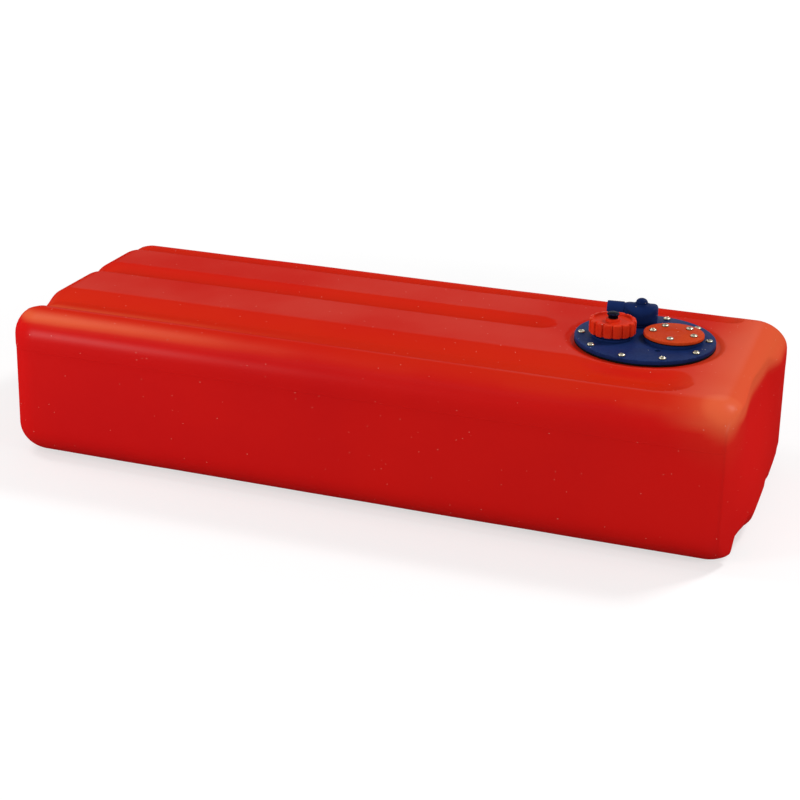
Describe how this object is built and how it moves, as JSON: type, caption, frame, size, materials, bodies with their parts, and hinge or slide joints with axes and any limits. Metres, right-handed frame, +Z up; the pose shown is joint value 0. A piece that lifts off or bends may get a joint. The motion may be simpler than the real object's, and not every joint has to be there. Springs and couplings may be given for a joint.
{
  "type": "fuel tank",
  "caption": "Flat rectangular fuel tank with grooved top and underside, a screwed round flange, fluted cap with vent, swivel hose elbow and a blanked sender opening.",
  "frame": {"origin": "centre of the tank's underside, on the surface it lies on", "axes": "+X along the tank's length towards the end with the flange, +Y towards the back long side, +Z up"},
  "size_m": [1, 0.385, 0.2491],
  "materials": {
    "red_polyethylene": "satin rotomoulded polyethylene",
    "blue_nylon": "satin injection-moulded nylon",
    "orange_plastic": "satin injection-moulded plastic",
    "stainless_steel": "plain stainless",
    "black_rubber": "matte",
    "zinc_plated_steel": "zinc plated",
    "natural_plastic": "translucent white plastic"
  },
  "bodies": {
    "root": {"tank_shell": "red_polyethylene", "flange_gasket": "black_rubber", "backing_ring": "zinc_plated_steel", "flange_plate": "blue_nylon", "flange_screw_01": "stainless_steel", "flange_screw_02": "stainless_steel", "flange_screw_03": "stainless_steel", "flange_screw_04": "stainless_steel", "flange_screw_05": "stainless_steel", "flange_screw_06": "stainless_steel", "flange_screw_07": "stainless_steel", "flange_screw_08": "stainless_steel", "flange_screw_09": "stainless_steel", "flange_screw_10": "stainless_steel", "sender_gasket": "black_rubber", "blanking_disc": "orange_plastic", "sender_screw_01": "stainless_steel", "sender_screw_02": "stainless_steel", "sender_screw_03": "stainless_steel", "sender_screw_04": "stainless_steel", "sender_screw_05": "stainless_steel", "pivot_bolt": "blue_nylon", "pickup_tube": "natural_plastic", "pickup_strainer": "natural_plastic"},
    "seal_carrier": {"cap_seal": "black_rubber"},
    "cap": {"filler_cap": "orange_plastic"},
    "washer_carrier": {"vent_washer": "black_rubber"},
    "vent": {"vent_knob": "blue_nylon"},
    "elbow": {"swivel_elbow": "blue_nylon", "elbow_oring": "black_rubber"}
  },
  "joints": [
    {"name": "cap_lift", "type": "slide", "parent": "root", "child": "seal_carrier", "axis": [0, 0, 1], "range_m": [0, 0.01]},
    {"name": "cap_turn", "type": "hinge", "parent": "seal_carrier", "child": "cap", "pos_m": [0.2895, 0.001, 0.23], "axis": [0, 0, 1], "range_deg": [0, 901]},
    {"name": "vent_lift", "type": "slide", "parent": "cap", "child": "washer_carrier", "axis": [0, 0, 1], "range_m": [0, 0.00225]},
    {"name": "vent_turn", "type": "hinge", "parent": "washer_carrier", "child": "vent", "pos_m": [0.2895, 0.001, 0.24], "axis": [0, 0, 1], "range_deg": [0, 541]},
    {"name": "elbow_swivel", "type": "hinge", "parent": "root", "child": "elbow", "pos_m": [0.313, 0.068, 0.22], "axis": [0, 0, 1], "range_deg": [-175, 22]}
  ],
  "couplings": [
    {"joint": "cap_turn", "follows": "cap_lift", "rad_per_m": 1570.8},
    {"joint": "vent_turn", "follows": "vent_lift", "rad_per_m": 4188.8}
  ]
}
